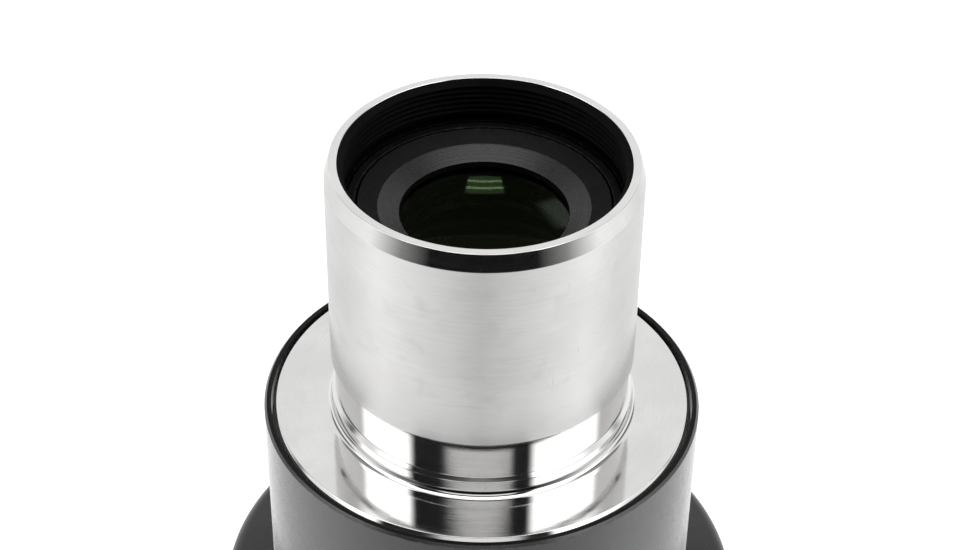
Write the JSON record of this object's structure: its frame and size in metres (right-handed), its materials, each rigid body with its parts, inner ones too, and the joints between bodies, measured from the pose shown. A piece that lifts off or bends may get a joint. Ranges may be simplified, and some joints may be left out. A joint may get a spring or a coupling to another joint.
{
  "type": "telescope eyepiece",
  "caption": "Wide-field telescope eyepiece with a polished barrel and shoulder, black housing and a twist-up sleeve with a rubber eyecup.",
  "frame": {"origin": "centre of the eyecup rim that the eyepiece stands on, on the optical axis", "axes": "+Z along the optical axis from the eye towards the telescope; X and Y are square to it, and one guide screw lies towards +Y"},
  "size_m": [0.0574, 0.0574, 0.1003],
  "materials": {
    "polished_steel": "turned and polished, with faint lathe lines",
    "satin_black": "fine satin black anodising",
    "matte_black": "matte black anodising against stray light",
    "coated_glass": "polished, with a green anti-reflection coating",
    "rubber": "matte moulded rubber",
    "screw_steel": "plain steel",
    "ptfe": "smooth, slippery"
  },
  "bodies": {
    "body": {"nosepiece": "polished_steel", "field_cell": "matte_black", "field_retaining_ring": "matte_black", "field_lens_front": "coated_glass", "field_lens_rear": "coated_glass", "housing": "satin_black", "shoulder_seal": "rubber", "field_stop": "matte_black", "lens_tube": "matte_black", "main_retaining_ring": "matte_black", "collecting_lens": "coated_glass", "field_side_spacer": "matte_black", "middle_lens_flint": "coated_glass", "middle_lens_crown": "coated_glass", "eye_side_spacer": "matte_black", "eye_lens_crown": "coated_glass", "eye_lens_flint": "coated_glass", "eye_cover_ring": "satin_black"},
    "eyecup_carriage": {"glide_ring": "ptfe", "drag_ring": "rubber"},
    "eyecup_sleeve": {"twist_sleeve": "satin_black", "grip_band": "rubber", "eyecup_ring": "satin_black", "eyecup": "rubber", "guide_screw_1": "screw_steel", "guide_screw_2": "screw_steel", "guide_screw_3": "screw_steel"}
  },
  "joints": [
    {"name": "eyecup_slide", "type": "slide", "parent": "body", "child": "eyecup_carriage", "axis": [0, 0, -1], "range_m": [0, 0.01]},
    {"name": "eyecup_twist", "type": "hinge", "parent": "eyecup_carriage", "child": "eyecup_sleeve", "pos_m": [0, 0, 0.025], "axis": [0, 0, -1], "range_deg": [0, 110]}
  ],
  "couplings": [
    {"joint": "eyecup_slide", "follows": "eyecup_twist", "m_per_rad": 0.005208}
  ]
}
